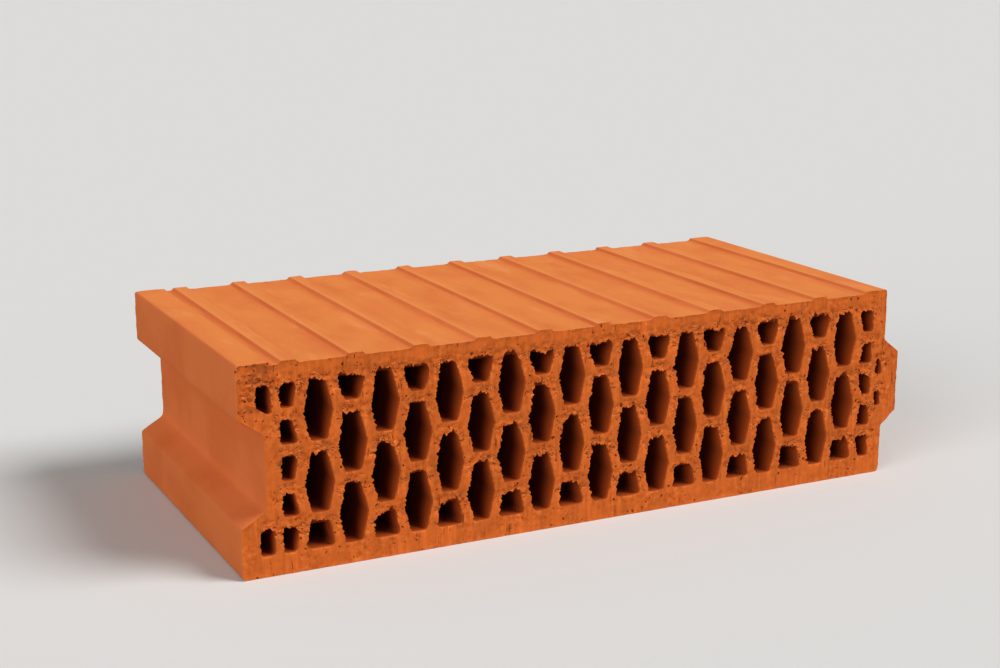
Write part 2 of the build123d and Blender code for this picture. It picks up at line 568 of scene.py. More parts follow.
@dataclass(frozen=True)
class FiredClay:
    """Finish of the block: extruded skin, torn clay on the cut ends, painted shade in the pits, and painted
    shade on the cells' sides that deepens further in.
    """

    skin: ExtrudedSkin = ExtrudedSkin()
    torn: TornClay = TornClay()
    # Painted shade: cell walls much darker than the clay, darker still further in.
    cell: Colour = (0.315, 0.050, 0.006)
    cell_deep_shade: Colour = (0.19, 0.033, 0.007)
    cell_shade_depth: Span = (3 * MM, 24 * MM)
    # Painted shade in the pits.
    pit: Colour = (0.17, 0.024, 0.005)
    pit_shade_share: float = 0.55
    roughness: float = 0.95
    gloss: float = 0.15

    def material(self, cut_plane: float, ribs: RibRow) -> bpy.types.Material:
        """Makes the material, with torn clay where the piece is marked so, and painted shade on its cell
        walls and in its pits.

        Args:
            cut_plane: Y of the back cut face, from which painted shade deepens into the cells, as from the
                front one.
            ribs: The ribs of the upper wall face.

        Returns:
            The material.
        """
        clay = bpy.data.materials.new("fired_clay")
        clay.use_nodes = True
        g = Graph(clay.node_tree)
        coordinates = g.node("ShaderNodeTexCoord")
        g.place = coordinates.outputs["Object"]
        upward = g.axes(coordinates.outputs["Normal"])[2]
        cut, cell, pit, crumbled, hanging = (
            g.node("ShaderNodeAttribute", attribute_name=mark.value).outputs["Fac"] for mark in Mark)
        skin, skin_height = self.skin.tone(g, upward, ribs)
        torn, torn_height = self.torn.tone(g, crumbled, hanging)
        depth = g.minus(cut_plane, g.math("ABSOLUTE", g.axes(g.place)[1]))
        # Painted shade on the cells' sides, deeper further in.
        shaded_wall = g.blend(g.ramp(depth, *self.cell_shade_depth), self.cell, self.cell_deep_shade)
        colour = g.blend(cut, g.blend(cell, skin, shaded_wall), torn)
        # Painted shade in the pits.
        colour = g.blend(g.times(pit, self.pit_shade_share), colour, self.pit)
        height = g.plus(g.times(g.minus(1.0, cut), skin_height), g.times(cut, torn_height))
        bump = g.node("ShaderNodeBump", {"Height": height, "Distance": 1.0, "Strength": 1.0})
        surface = {"Base Color": colour, "Roughness": self.roughness, "Specular IOR Level": self.gloss}
        shader = g.node("ShaderNodeBsdfPrincipled", {**surface, "Normal": bump})
        g.node("ShaderNodeOutputMaterial", {"Surface": shader})
        return clay


@dataclass
class ClayBlock:
    """The block: an extruded body whose cells open in torn mouths, as a cutting wire leaves them."""

    section: Section
    low: Vector
    high: Vector
    finish: FiredClay = FiredClay()
    # Points of the body
    face_step: float = 2.0 * MM
    brow_step: float = 1.45 * MM
    back_step: float = 3.4 * MM
    uneven: float = 0.22  # share of the step by which points stray
    rim_gap: float = 0.6  # share of the step kept clear along the outline
    outline_step: float = 3.0 * MM
    outline_turn: float = math.radians(13.0)
    outline_softness: float = 0.35 * MM
    arris_softness: float = 1.2 * MM
    corner_reach: float = 4.0  # how far a corner is rounded, in spreads
    ring_depths: Span = (1.2 * MM, 4.5 * MM, 15.0 * MM, 40.0 * MM, 80.0 * MM)
    # Cells and their mouths
    past: float = 4.0 * MM  # how far plugs stand out of a cut face
    shaft_start: float = 3.2 * MM  # depth at which the straight cells start
    mouth_arch: float = 0.05  # rounding of the upper corners, as a share of the width
    upper_half: Span = (0.86, 1.12)  # spread of upper half cells, at foot and top
    lower_half: Span = (1.03, 1.25)  # spread of lower half cells, at foot and top
    front_mouth: Span = (0.6 * MM, 1.7 * MM, 3.6 * MM, 7.0 * MM)
    back_mouth: Span = (1.2 * MM, 3.6 * MM, 7.0 * MM)
    front_mouth_step: float = 1.05 * MM
    back_mouth_step: float = 2.1 * MM
    mouth_inset: float = 0.2 * MM
    torn_up: float = 2.4 * MM
    torn_left: float = 0.7 * MM
    tooth: float = 0.9 * MM
    chip: float = 1.8 * MM
    sag: float = 1.3 * MM
    fill: float = 1.0 * MM  # clay that clings in the upper right corners
    end_calm: float = 0.5  # share of the tearing beyond the full cells
    lip: float = 1.1 * MM
    lip_depth: float = 3.6 * MM
    brow: float = 2.0 * MM  # height of a cell's upper edge
    # Wear of the faces
    face_relief: float = 0.9 * MM
    edge_wear: float = 0.9 * MM
    skin_wave: float = 0.22 * MM
    brow_relief: float = 1.2 * MM
    brow_reach: float = 9.5 * MM
    crumble_depth: float = 1.8 * MM
    crumble_reach: float = 30.0 * MM
    crumble_inset: float = 10 * MM  # end face to the middle of the crumbled corner
    crumble_drop: float = 14 * MM  # top to the middle of the crumbled corner
    crumble_squash: Triple = (1.0, 1.0, 0.75)
    crumble_waver: float = 14 * MM
    # Pits, crumbs and creases
    pit_gap: float = 3.5 * MM
    pit_size: float = 1.1 * MM
    pit_shape: tuple[Triple, Triple] = ((0.4, 0.6, 0.4), (1.2, 1.5, 1.9))
    pit_density: float = 60000.0
    crumb_gap: float = 2.4 * MM
    crumb_size: float = 0.9 * MM
    crumb_shape: tuple[Triple, Triple] = ((0.5, 0.5, 0.5), (1.6, 1.1, 1.5))
    crumb_density: float = 90000.0
    crumb_inset: float = 0.1 * MM
    stone_turn: Triple = (0.5, 1.2, 0.5)
    crease: float = math.radians(38.0)
    lip_crease: float = math.radians(78.0)
    sliver_faces: int = 100  # loose pieces with fewer faces go
    seed: int = 11

    NAMED_LENGTHS = (
        "front_mouth_step", "back_mouth_step", "torn_up", "torn_left", "tooth", "chip", "sag", "fill", "lip",
        "crumble_depth", "crumble_reach", "face_relief", "edge_wear", "skin_wave", "brow_relief",
        "brow_reach", "pit_gap", "crumb_gap",
    )
    FULL_WIDTH = 0.9

    @property
    def front(self) -> float:
        """Y of the front cut face."""
        return self.low.y

    @property
    def back(self) -> float:
        """Y of the back cut face."""
        return self.high.y

    def softened(self, loop: np.ndarray, broad: float, corners: np.ndarray) -> np.ndarray:
        """Rounds a loop, as handled clay is rounded, and most at some of its corners.

        Args:
            loop: A closed loop of points.
            broad: Spread of the rounding at the corners.
            corners: The corners that are rounded most.

        Returns:
            The rounded loop, with more points where it bends.
        """
        closed = np.vstack([loop, loop[:1]])
        along = np.concatenate([[0.0], np.cumsum(np.linalg.norm(np.diff(closed, axis=0), axis=1))])
        count = math.ceil(2 * along[-1] / self.outline_softness)
        stations = np.arange(count) * along[-1] / count
        even = np.stack([np.interp(stations, along, closed[:, axis]) for axis in (0, 1)], axis=1)
        waves = 2 * math.pi * np.fft.fftfreq(count, along[-1] / count)[:, None]
        parts = np.fft.fft(even, axis=0)
        crisp, round_ = (np.fft.ifft(parts * np.exp(-0.5 * (waves * spread)**2), axis=0).real
                         for spread in (self.outline_softness, broad))
        away = np.min(np.linalg.norm(even[:, None] - corners[None], axis=2), axis=1)
        smooth = crisp + (round_ - crisp) * np.exp(-((away / (self.corner_reach * broad))**2))[:, None]
        runs = np.roll(smooth, -1, axis=0) - smooth
        headings = np.unwrap(np.arctan2(runs[:, 1], runs[:, 0]))
        kept = [0]
        for index in range(1, count):
            far = np.linalg.norm(smooth[index] - smooth[kept[-1]]) > self.outline_step
            if far or abs(headings[index] - headings[kept[-1]]) > self.outline_turn:
                kept.append(index)
        return smooth[kept]

    def face_points(self, outline: np.ndarray, step: float) -> np.ndarray:
        """Spreads uneven points over the clay of a cut face.

        Args:
            outline: The block's outline.
            step: Distance from one point to the next.

        Returns:
            Points within the outline, and not deep inside a cell.
        """
        columns = np.arange(self.low.x, self.high.x, step)
        rows = np.arange(self.low.z, self.high.z, step * math.sqrt(0.75))
        x, z = np.meshgrid(columns, rows)
        x[1::2] += step / 2
        points = np.stack([x.ravel(), z.ravel()], axis=1)
        points += np.random.default_rng(self.seed).uniform(-self.uneven, self.uneven, points.shape) * step
        points = points[self.section.encloses(outline, points)]
        rim = self.section.divided(outline, step / 2)
        points = points[self.section.distance([rim], points) > self.rim_gap * step]
        hollow = np.any([self.section.encloses(cell, points) for cell in self.section.cells], axis=0)
        mouths = [self.section.divided(cell, step) for cell in self.section.cells]
        return points[~hollow | (self.section.distance(mouths, points) < 2 * step)]

    def front_points(self, outline: np.ndarray) -> np.ndarray:
        """Spreads points over the front cut face, closer together above the cells, where it is torn most.

        Args:
            outline: The block's outline.

        Returns:
            The points.
        """
        coarse, fine = (self.face_points(outline, step) for step in (self.face_step, self.brow_step))
        brows = self.brows()
        coarse = coarse[self.section.distance(brows, coarse) > self.brow_reach]
        return np.concatenate([coarse, fine[self.section.distance(brows, fine) <= self.brow_reach]])

    def cut_face(self, outline: np.ndarray, points: np.ndarray) -> tuple[np.ndarray, np.ndarray]:
        """Joins points to triangles within an outline.

        Args:
            outline: The block's outline.
            points: Points within it.

        Returns:
            All points, those of the outline first, and the triangles as rows of three point numbers.
        """
        face = np.concatenate([outline, points])
        flat = [Vector(point) for point in face]
        _, _, found, *_ = delaunay_2d_cdt(flat, [], [range(len(outline))], 1, Section.WELD, False)
        triangles = np.array(found)
        return face, triangles[self.section.encloses(outline, face[triangles].mean(axis=1))]

    def body_mesh(self) -> bpy.types.Mesh:
        """Makes the uncarved body: two finely divided cut faces, joined by rings of the outline.

        Returns:
            A closed mesh.
        """
        drawn = self.section.outline
        arrises = self.section.corners(drawn, drawn[:, 1].min(), drawn[:, 1].max())
        outline = self.softened(drawn, self.arris_softness, arrises)
        rim = len(outline)
        near, near_triangles = self.cut_face(outline, self.front_points(outline))
        far, far_triangles = self.cut_face(outline, self.face_points(outline, self.back_step))
        depths = [self.front, *(self.front + depth for depth in self.ring_depths)]
        depths += [0.0, *(-depth for depth in reversed(depths))]
        corners = [(x, self.front, z) for x, z in near] + [(x, self.back, z) for x, z in far]
        starts = [0]
        for depth in depths[1:-1]:
            starts.append(len(corners))
            corners += [(x, depth, z) for x, z in outline]
        starts.append(len(near))
        faces = near_triangles.tolist() + (far_triangles[:, ::-1] + len(near)).tolist()
        for start, end in zip(starts, starts[1:]):
            for i in range(rim):
                j = (i + 1) % rim
                faces.append((start + i, end + i, end + j, start + j))
        mesh = bpy.data.meshes.new("clay_body")
        mesh.from_pydata(corners, [], faces)
        return mesh

    @staticmethod
    def curves(name: str, loops: list[np.ndarray], closed: bool) -> bpy.types.Object:
        """Draws (x, z) loops as flat curves.

        Args:
            name: The object's name.
            loops: Points of each curve.
            closed: Whether the curves close.

        Returns:
            A curve object that lies in the XY plane.
        """
        data = bpy.data.curves.new(name, "CURVE")
        data.dimensions = "3D"
        for loop in loops:
            spline = data.splines.new("POLY")
            spline.points.add(len(loop) - 1)
            for point, (x, z) in zip(spline.points, loop):
                point.co = (x, z, 0.0, 1.0)
            spline.use_cyclic_u = closed
        return linked(name, data)

    def full_cells(self) -> tuple[float, float]:
        """Finds the stretch of the block that has full cells.

        Returns:
            The lowest and the highest X that they reach.
        """
        widths = [np.ptp(cell[:, 0]) for cell in self.section.cells]
        full = [cell[:, 0] for cell, width in zip(self.section.cells, widths)
                if width > self.FULL_WIDTH * max(widths)]
        across = np.concatenate(full)
        return float(across.min()), float(across.max())

    def arched(self, cell: np.ndarray) -> np.ndarray:
        """Shapes a cell's loop as the wire leaves it at the mouth.

        Args:
            cell: The cell's loop.

        Returns:
            The loop with rounded upper corners, and spread most at its top if it is half a cell.
        """
        levels = cell[:, 1].min(), cell[:, 1].max()
        feet, tops = np.split(self.section.corners(cell, *levels), 2)
        middle, upper_middle = feet[:, 0].mean(), tops[:, 0].mean()
        widening = np.ptp(tops[:, 0]) - np.ptp(feet[:, 0])
        if abs(middle - upper_middle) < Section.SAME_LEVEL and abs(widening) > self.brow:
            spread = np.interp(cell[:, 1], levels, self.upper_half if widening > 0 else self.lower_half)
            cell = np.stack([middle + (cell[:, 0] - middle) * spread, cell[:, 1]], axis=1)
        top = self.section.corners(cell, levels[1])
        return self.softened(cell, self.mouth_arch * np.ptp(cell[:, 0]), top)

    def brows(self) -> list[np.ndarray]:
        """Draws the upper edge of each cell, where torn clay hangs.

        Returns:
            Points of each edge, from left to right.
        """
        edges = []
        for cell in self.section.cells:
            loop = self.section.divided(cell, self.front_mouth_step)
            upper = loop[loop[:, 1] > loop[:, 1].max() - self.brow]
            edges.append(upper[np.argsort(upper[:, 0])])
        return edges

    def build(self) -> bpy.types.Object:
        """Makes the block and ties it to the frame.

        Returns:
            The finished piece.
        """
        raw = linked("raw_block", self.body_mesh())
        cells = self.curves("cells", self.section.cells, True)
        mouths = self.curves("mouths", [self.arched(cell) for cell in self.section.cells], True)
        brows = self.curves("brows", self.brows(), False)
        inputs = {
            "Body": (InputKind.SHAPE, None),
            "Cells": (InputKind.OBJECT, cells),
            "Mouths": (InputKind.OBJECT, mouths),
            "Brows": (InputKind.OBJECT, brows),
            "Clay": (InputKind.MATERIAL, self.finish.material(self.back, self.section.ribs())),
        }
        for name in self.NAMED_LENGTHS:
            inputs[name.replace("_", " ").capitalize()] = (InputKind.LENGTH, getattr(self, name))
        inputs["Seed"] = (InputKind.COUNT, self.seed)
        modifier = raw.modifiers.new("torn_cells", "NODES")
        modifier.node_group = CarvingTree(self, inputs).grown()
        for item in modifier.node_group.interface.items_tree:
            if item.in_out == "INPUT" and inputs[item.name][1] is not None:
                modifier[item.identifier] = inputs[item.name][1]
        evaluated = raw.evaluated_get(bpy.context.evaluated_depsgraph_get())
        mesh = bpy.data.meshes.new_from_object(evaluated)
        raw.modifiers.remove(modifier)
        for helper in (raw, cells, mouths, brows):
            bpy.data.objects.remove(helper)
        return self.finished(mesh)

    @staticmethod
    def finished(mesh: bpy.types.Mesh) -> bpy.types.Object:
        """Shades the carved mesh and ties it to the frame.

        Args:
            mesh: The carved block.

        Returns:
            The piece.
        """
        mesh.name = "carved_clay_block"
        mesh.shade_smooth()
        piece = linked("carved_clay_block", mesh)
        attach(piece, "root")
        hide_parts("clay_block")
        return piece


@dataclass
class CarvingTree:
    """Geometry nodes that weather the body, open its cells with torn mouths, and add pits and crumbs."""

    block: ClayBlock
    inputs: dict[str, tuple[InputKind, Any]]
    # Relief of the cut faces, wear of the arrises and waves of the skin
    swell: Grain = Grain(34 * MM, 1.0)
    lumps: Grain = Grain(5.5 * MM, 3.0, 0.6)
    drag: Grain = Grain(3.6 * MM, 2.0, stretch=(1.0, 1.0, 0.10))
    relief_shares: Span = (0.3, 0.45, 0.25)
    rubble: Grain = Grain(4.5 * MM, 3.0, 0.7, spread=(0.36, 0.70))
    ragged: Grain = Grain(3.0 * MM, 2.0, 0.6, spread=(0.34, 0.66))
    wear: Grain = Grain(7 * MM, 3.0, 0.6, spread=(0.38, 0.78, 0.12, 1.0))
    drawn: Grain = Grain(14 * MM, 3.0, 0.55, (1.0, 0.05, 1.0))
    crumble_edge: Grain = Grain(9 * MM)
    crumble_fade: Span = (0.55, 1.05, 1.0, 0.0)
    hanging_fade: Span = (0.35, 1.0, 1.0, 0.0)
    # Tearing of the mouths
    tooth: Grain = Grain(1.4 * MM, 1.0, stretch=(1.0, 0.35, 1.0))
    tooth_swing: float = 5.0
    tooth_right: float = 0.25
    bite: Grain = Grain(5.0 * MM, 2.0, stretch=(1.0, 0.35, 1.0), spread=(0.60, 0.76))
    swag: Grain = Grain(3.6 * MM, 2.0, 0.6, (1.0, 0.35, 1.0))
    swag_swing: float = 8.0
    lavish: Grain = Grain(22 * MM, 1.0, spread=(0.3, 0.7, 0.6, 1.4))
    clung: Grain = Grain(9 * MM, 1.0, spread=(0.35, 0.6))
    clung_right: float = 2.0
    lip_below: float = 0.4
    toward: Span = (0.2, 0.9)
    toward_top: Span = (0.2, 0.6)
    tear_start: float = 0.95
    tear_full: float = 0.1
    # Pits and crumbs
    crowd: Grain = Grain(22 * MM, 3.0, 0.6, spread=(0.44, 0.68, 0.03, 0.55))
    crowd_back: float = 0.5
    fresh_edge: float = 0.35
    overhang: float = -0.3
    # How far a surface faces along Y, from 0 to 1
    square_on: float = 0.98
    cut_on: float = 0.9
    skin_on: float = 0.1

    def __post_init__(self) -> None:
        """Starts the tree with its named inputs."""
        self.tree = bpy.data.node_groups.new("torn_cells", "GeometryNodeTree")
        self.g = Graph(self.tree)
        self.g.place = self.g.node("GeometryNodeInputPosition").outputs[0]
        for name, (kind, _) in self.inputs.items():
            self.tree.interface.new_socket(name, in_out="INPUT", socket_type=kind.value)
        self.tree.interface.new_socket("Block", in_out="OUTPUT", socket_type=InputKind.SHAPE.value)
        entry = self.g.node("NodeGroupInput")
        self.sizes = {name: entry.outputs[name] for name in self.inputs}

    def curves(self, name: str) -> Socket:
        """Returns the flat curves of a named input."""
        info = {"Object": self.sizes[name]}
        return self.g.node("GeometryNodeObjectInfo", info, transform_space="ORIGINAL").outputs["Geometry"]

    def upright(self, flat: Any, plane: float) -> bpy.types.Node:
        """Returns flat (x, z) shapes stood up at this Y."""
        inputs = {"Geometry": flat, "Rotation": (math.pi / 2, 0.0, 0.0), "Translation": (0.0, plane, 0.0)}
        return self.g.node("GeometryNodeTransform", inputs)

    def marked(self, shape: Any, marks: dict[Mark, Any]) -> bpy.types.Node:
        """Stores marks for the finish on a shape.

        Args:
            shape: The shape to mark.
            marks: Value of each mark, 0 where it isn't given.

        Returns:
            The marked shape.
        """
        kind = "GeometryNodeStoreNamedAttribute"
        for mark in Mark:
            inputs = {"Geometry": shape, "Name": mark.value, "Value": marks.get(mark, 0.0)}
            shape = self.g.node(kind, inputs, data_type="FLOAT", domain=mark.domain)
        return shape

    def hanging(self) -> Socket:
        """Measures towards the upper edges of the cells on both cut faces.

        Returns:
            How near a place is to such an edge, from 0 to 1.
        """
        g = self.g
        lines = g.node("GeometryNodeCurveToMesh", {"Curve": self.curves("Brows")})
        edges = [self.upright(lines, plane) for plane in (self.block.front, self.block.back)]
        edges = g.node("GeometryNodeJoinGeometry", {0: edges})
        near = g.node("GeometryNodeProximity", {0: edges}, target_element="EDGES").outputs["Distance"]
        return g.ramp(g.math("DIVIDE", near, self.sizes["Brow reach"]), *self.hanging_fade)

    def crumbling(self) -> Socket:
        """Measures towards the front corner of the upper lip.

        Returns:
            How far the clay is crumbled at a place, from 0 to 1.
        """
        g, block = self.g, self.block
        corner = (block.low.x + block.crumble_inset, block.front, block.high.z - block.crumble_drop)
        away = g.vector("MULTIPLY", g.vector("SUBTRACT", g.place, corner), block.crumble_squash)
        away = g.node("ShaderNodeVectorMath", {0: away}, operation="LENGTH").outputs["Value"]
        away = g.plus(away, g.times(self.crumble_edge.noise(g), block.crumble_waver))
        return g.ramp(g.math("DIVIDE", away, self.sizes["Crumble reach"]), *self.crumble_fade)

    def weathered_body(self) -> bpy.types.Node:
        """Sinks the body's surface: torn cut faces, worn arrises and a slightly wavy skin.

        Returns:
            The body, marked where it is cut.
        """
        g, sizes = self.g, self.sizes
        normal = g.normal()
        facing = g.math("ABSOLUTE", g.axes(normal)[1])
        crumbled, hanging = self.crumbling(), self.hanging()
        reliefs = zip((self.swell, self.lumps, self.drag), self.relief_shares)
        torn = g.plus(*(g.times(grain.noise(g), share) for grain, share in reliefs))
        rubble = g.times(self.rubble.spots(g), crumbled, sizes["Crumble depth"])
        ragged = g.times(self.ragged.spots(g), hanging, sizes["Brow relief"])
        torn = g.plus(g.times(torn, sizes["Face relief"]), rubble, ragged)
        wear = g.plus(g.times(self.wear.spots(g), sizes["Edge wear"]), rubble)
        wave = g.times(self.drawn.noise(g), sizes["Skin wave"])
        on_face = g.math("GREATER_THAN", facing, self.square_on)
        on_skin = g.math("LESS_THAN", facing, self.skin_on)
        on_rim = g.minus(g.minus(1.0, on_face), on_skin)
        sink = g.plus(g.times(on_face, torn), g.times(on_rim, wear), g.times(on_skin, wave))
        cut = g.math("GREATER_THAN", facing, self.cut_on)
        body = self.marked(sizes["Body"], {Mark.CUT: cut, Mark.CRUMBLED: crumbled, Mark.HANGING: hanging})
        offset = g.scaled(normal, g.times(sink, -1.0))
        return g.node("GeometryNodeSetPosition", {"Geometry": body, "Offset": offset})

    def plugs(self, loops: Any, stations: list[float]) -> bpy.types.Node:
        """Runs a closed solid through each cell.

        Args:
            loops: Flat curves of the cells.
            stations: Y of the first lid, of each ring of points, and of the last lid.

        Returns:
            The solids.
        """
        g = self.g
        lids = self.upright(g.node("GeometryNodeFillCurve", {"Curve": loops}, mode="NGONS"), stations[0])
        shape: Any = g.node("GeometryNodeFlipFaces", {"Mesh": lids}).outputs[0]
        grown: dict[str, Any] = {}
        for near, far in zip(stations, stations[1:]):
            inputs = {"Mesh": shape, "Offset Scale": far - near, "Individual": False, **grown}
            extrusion = g.node("GeometryNodeExtrudeMesh", inputs, mode="FACES")
            shape, grown = extrusion.outputs["Mesh"], {"Selection": extrusion.outputs["Top"]}
        closed = g.node("GeometryNodeJoinGeometry", {0: [lids, shape]})
        return g.node("GeometryNodeMergeByDistance", {"Geometry": closed, "Distance": Section.WELD})

    def shafts(self) -> bpy.types.Node:
        """Returns the straight solids of the cells, which end just under both cut faces."""
        ends = [self.block.front + self.block.shaft_start, self.block.back - self.block.shaft_start]
        return self.marked(self.plugs(self.curves("Cells"), ends), {Mark.CELL: 1.0})

    def mouths(self, cut_side: CutSide) -> bpy.types.Node:
        """Makes plugs that tear the cells' mouths open on one cut face.

        Args:
            cut_side: The cut face.

        Returns:
            The torn plugs, which end within the cells.
        """
        g, block = self.g, self.block
        at_front = cut_side is CutSide.FRONT
        step = self.sizes["Front mouth step" if at_front else "Back mouth step"]
        inputs = {"Curve": self.curves("Mouths"), "Length": step}
        loops = g.node("GeometryNodeResampleCurve", inputs, mode="LENGTH")
        rings = block.front_mouth if at_front else block.back_mouth
        stations = [block.front - block.past, block.front, *(block.front + ring for ring in rings)]
        plugs = self.plugs(loops, stations)
        if not at_front:
            mirrored = g.node("GeometryNodeTransform", {"Geometry": plugs, "Scale": (1.0, -1.0, 1.0)})
            plugs = g.node("GeometryNodeFlipFaces", {"Mesh": mirrored})
        depth = g.minus(block.back, g.math("ABSOLUTE", g.axes(g.place)[1]))
        fresh = g.ramp(depth, 0.0, rings[-3], 1.0, 0.0)
        return self.marked(self.torn(plugs, depth, rings[-1]), {Mark.CELL: 1.0, Mark.CUT: fresh})

    def torn(self, plugs: bpy.types.Node, depth: Socket, reach: float) -> bpy.types.Node:
        """Tears plugs open towards the cut face: ragged above and on the left, soft below and on the right.

        Args:
            plugs: Plugs with smooth sides.
            depth: Depth of a place under the cut face.
            reach: Depth at which the plugs end.

        Returns:
            The torn plugs, a little within the cells at their ends.
        """
        g, sizes, block = self.g, self.sizes, self.block
        outward = g.vector("NORMALIZE", g.vector("MULTIPLY", g.normal(), (1.0, 0.0, 1.0)))
        x, _, z = g.axes(outward)
        right, up = g.ramp(x, *self.toward), g.ramp(z, *self.toward_top)
        left, down = (g.ramp(g.times(axis, -1.0), *self.toward) for axis in (x, z))
        near = g.ramp(depth, self.tear_full * reach, self.tear_start * reach, 1.0, 0.0)
        shallow = g.math("SUBTRACT", 1.0, g.math("DIVIDE", depth, block.lip_depth), clamp=True)
        lip = g.times(g.math("POWER", shallow, 2.0), sizes["Lip"])
        tooth = g.times(self.tooth.swing(g, self.tooth_swing), sizes["Tooth"])
        ragged = g.plus(tooth, g.times(self.bite.spots(g), sizes["Chip"]))
        first, last = block.full_cells()
        aside = g.math("ABSOLUTE", g.minus(g.axes(g.place)[0], (first + last) / 2))
        calm = g.ramp(aside, (last - first) / 2, (last - first) / 2 + block.brow, 1.0, block.end_calm)
        swag = g.times(self.swag.swing(g, self.swag_swing), g.times(sizes["Sag"], calm))
        lavish = g.times(self.lavish.spots(g), calm)
        clung = g.times(self.clung.spots(g), sizes["Fill"], self.clung_right)
        leftward = g.math("MULTIPLY_ADD", sizes["Torn left"], lavish, ragged)
        upward = g.plus(g.math("MULTIPLY_ADD", sizes["Torn up"], lavish, ragged), swag)
        upward = g.minus(upward, g.times(right, clung))
        rightward = g.times(right, g.math("MULTIPLY_ADD", tooth, self.tooth_right, lip))
        across = g.minus(rightward, g.times(left, leftward))
        along_z = g.minus(g.times(up, upward), g.times(down, g.times(lip, self.lip_below)))
        torn = g.scaled(g.node("ShaderNodeCombineXYZ", {"X": across, "Z": along_z}), near)
        offset = g.vector("SUBTRACT", torn, g.scaled(outward, block.mouth_inset))
        return g.node("GeometryNodeSetPosition", {"Geometry": plugs, "Offset": offset})

    def scattered(self, where: dict[str, Any], size: float, shape: tuple[Triple, Triple]) -> bpy.types.Node:
        """Scatters small rough stones over a mesh, most of them near their least size.

        Args:
            where: The mesh, which of its faces take stones, and how close together.
            size: Their usual half size.
            shape: Their smallest and their largest half sizes along X, Y and Z, as shares of the usual one.

        Returns:
            The stones as one mesh.
        """
        g, seed = self.g, self.sizes["Seed"]
        spread = {**where, "Seed": seed}
        points = g.node("GeometryNodeDistributePointsOnFaces", spread, distribute_method="POISSON")
        stone = g.node("GeometryNodeMeshIcoSphere", {"Radius": 1.0, "Subdivisions": 1})
        draw = g.node("FunctionNodeRandomValue", {"Seed": seed}, data_type="FLOAT_VECTOR")
        least, most = (tuple(share * size for share in shares) for shares in shape)
        span = tuple(high - low for low, high in zip(least, most))
        scale = g.vector("ADD", least, g.vector("MULTIPLY", g.vector("MULTIPLY", draw, draw), span))
        tilt = {0: tuple(-turn for turn in self.block.stone_turn), 1: self.block.stone_turn, "Seed": seed}
        turn = g.node("FunctionNodeRandomValue", tilt, data_type="FLOAT_VECTOR")
        inputs = {"Points": points, "Instance": stone, "Scale": scale, "Rotation": turn}
        placed = g.node("GeometryNodeInstanceOnPoints", inputs)
        return g.node("GeometryNodeRealizeInstances", {"Geometry": placed})

    def pits(self, body: bpy.types.Node) -> bpy.types.Node:
        """Makes solids that open clusters of small pits in the cut faces.

        Args:
            body: The body that they are cut from.

        Returns:
            The pits' solids.
        """
        g, block = self.g, self.block
        cut = g.math("GREATER_THAN", g.math("ABSOLUTE", g.axes(g.normal())[1]), self.cut_on)
        crowd = g.math("ADD", self.crowd.spots(g), self.crumbling(), clamp=True)
        crowd = g.times(crowd, g.ramp(g.axes(g.place)[1], block.front, block.back, 1.0, self.crowd_back))
        where = {"Mesh": body, "Selection": cut, "Distance Min": self.sizes["Pit gap"],
                 "Density Max": block.pit_density, "Density Factor": crowd}
        stones = self.scattered(where, block.pit_size, block.pit_shape)
        return self.marked(stones, {Mark.CUT: 1.0, Mark.PIT: 1.0})

    def crumbs(self, shape: bpy.types.Node) -> bpy.types.Node:
        """Makes crumbs of torn clay that cling to the upper edge of the mouths.

        Args:
            shape: The block with its mouths torn open.

        Returns:
            The crumbs, none of which stands out of the cut faces.
        """
        g, block = self.g, self.block
        fresh = g.times(g.mark(Mark.CELL), g.mark(Mark.CUT))
        hung = g.math("LESS_THAN", g.axes(g.normal())[2], self.overhang)
        edge = g.times(g.math("GREATER_THAN", fresh, self.fresh_edge), hung)
        where = {"Mesh": shape, "Selection": edge, "Distance Min": self.sizes["Crumb gap"],
                 "Density Max": block.crumb_density}
        stones = self.scattered(where, block.crumb_size, block.crumb_shape)
        x, y, z = g.axes(g.place)
        within = g.math("MAXIMUM", y, block.front + block.crumb_inset)
        within = g.math("MINIMUM", within, block.back - block.crumb_inset)
        flush = g.node("ShaderNodeCombineXYZ", {"X": x, "Y": within, "Z": z})
        stones = g.node("GeometryNodeSetPosition", {"Geometry": stones, "Position": flush})
        return self.marked(stones, {Mark.CUT: 1.0, Mark.HANGING: 1.0})

    def whole(self, shape: bpy.types.Node) -> bpy.types.Node:
        """Removes the loose slivers that carving leaves.

        Args:
            shape: The carved block.

        Returns:
            The block without slivers.
        """
        g = self.g
        inputs = {"Value": 1, "Group ID": g.node("GeometryNodeInputMeshIsland").outputs["Island Index"]}
        faces = g.node("GeometryNodeAccumulateField", inputs, data_type="INT", domain="FACE").outputs["Total"]
        inputs = {"Geometry": shape, "Selection": g.math("LESS_THAN", faces, self.block.sliver_faces)}
        return g.node("GeometryNodeDeleteGeometry", inputs, domain="FACE")

    def creased(self, shape: bpy.types.Node) -> bpy.types.Node:
        """Marks the edges that shade as creases, which are only the sharpest ones round the cells.

        Args:
            shape: The carved block.

        Returns:
            The block with its creases.
        """
        g, block = self.g, self.block
        fold = g.node("GeometryNodeInputMeshEdgeAngle").outputs["Unsigned Angle"]
        limit = g.ramp(g.mark(Mark.CELL), 0.0, 0.5, block.crease, block.lip_crease)
        inputs = {0: shape, "Selection": g.math("GREATER_THAN", fold, limit), "Shade Smooth": False}
        return g.node("GeometryNodeSetShadeSmooth", inputs, domain="EDGE")

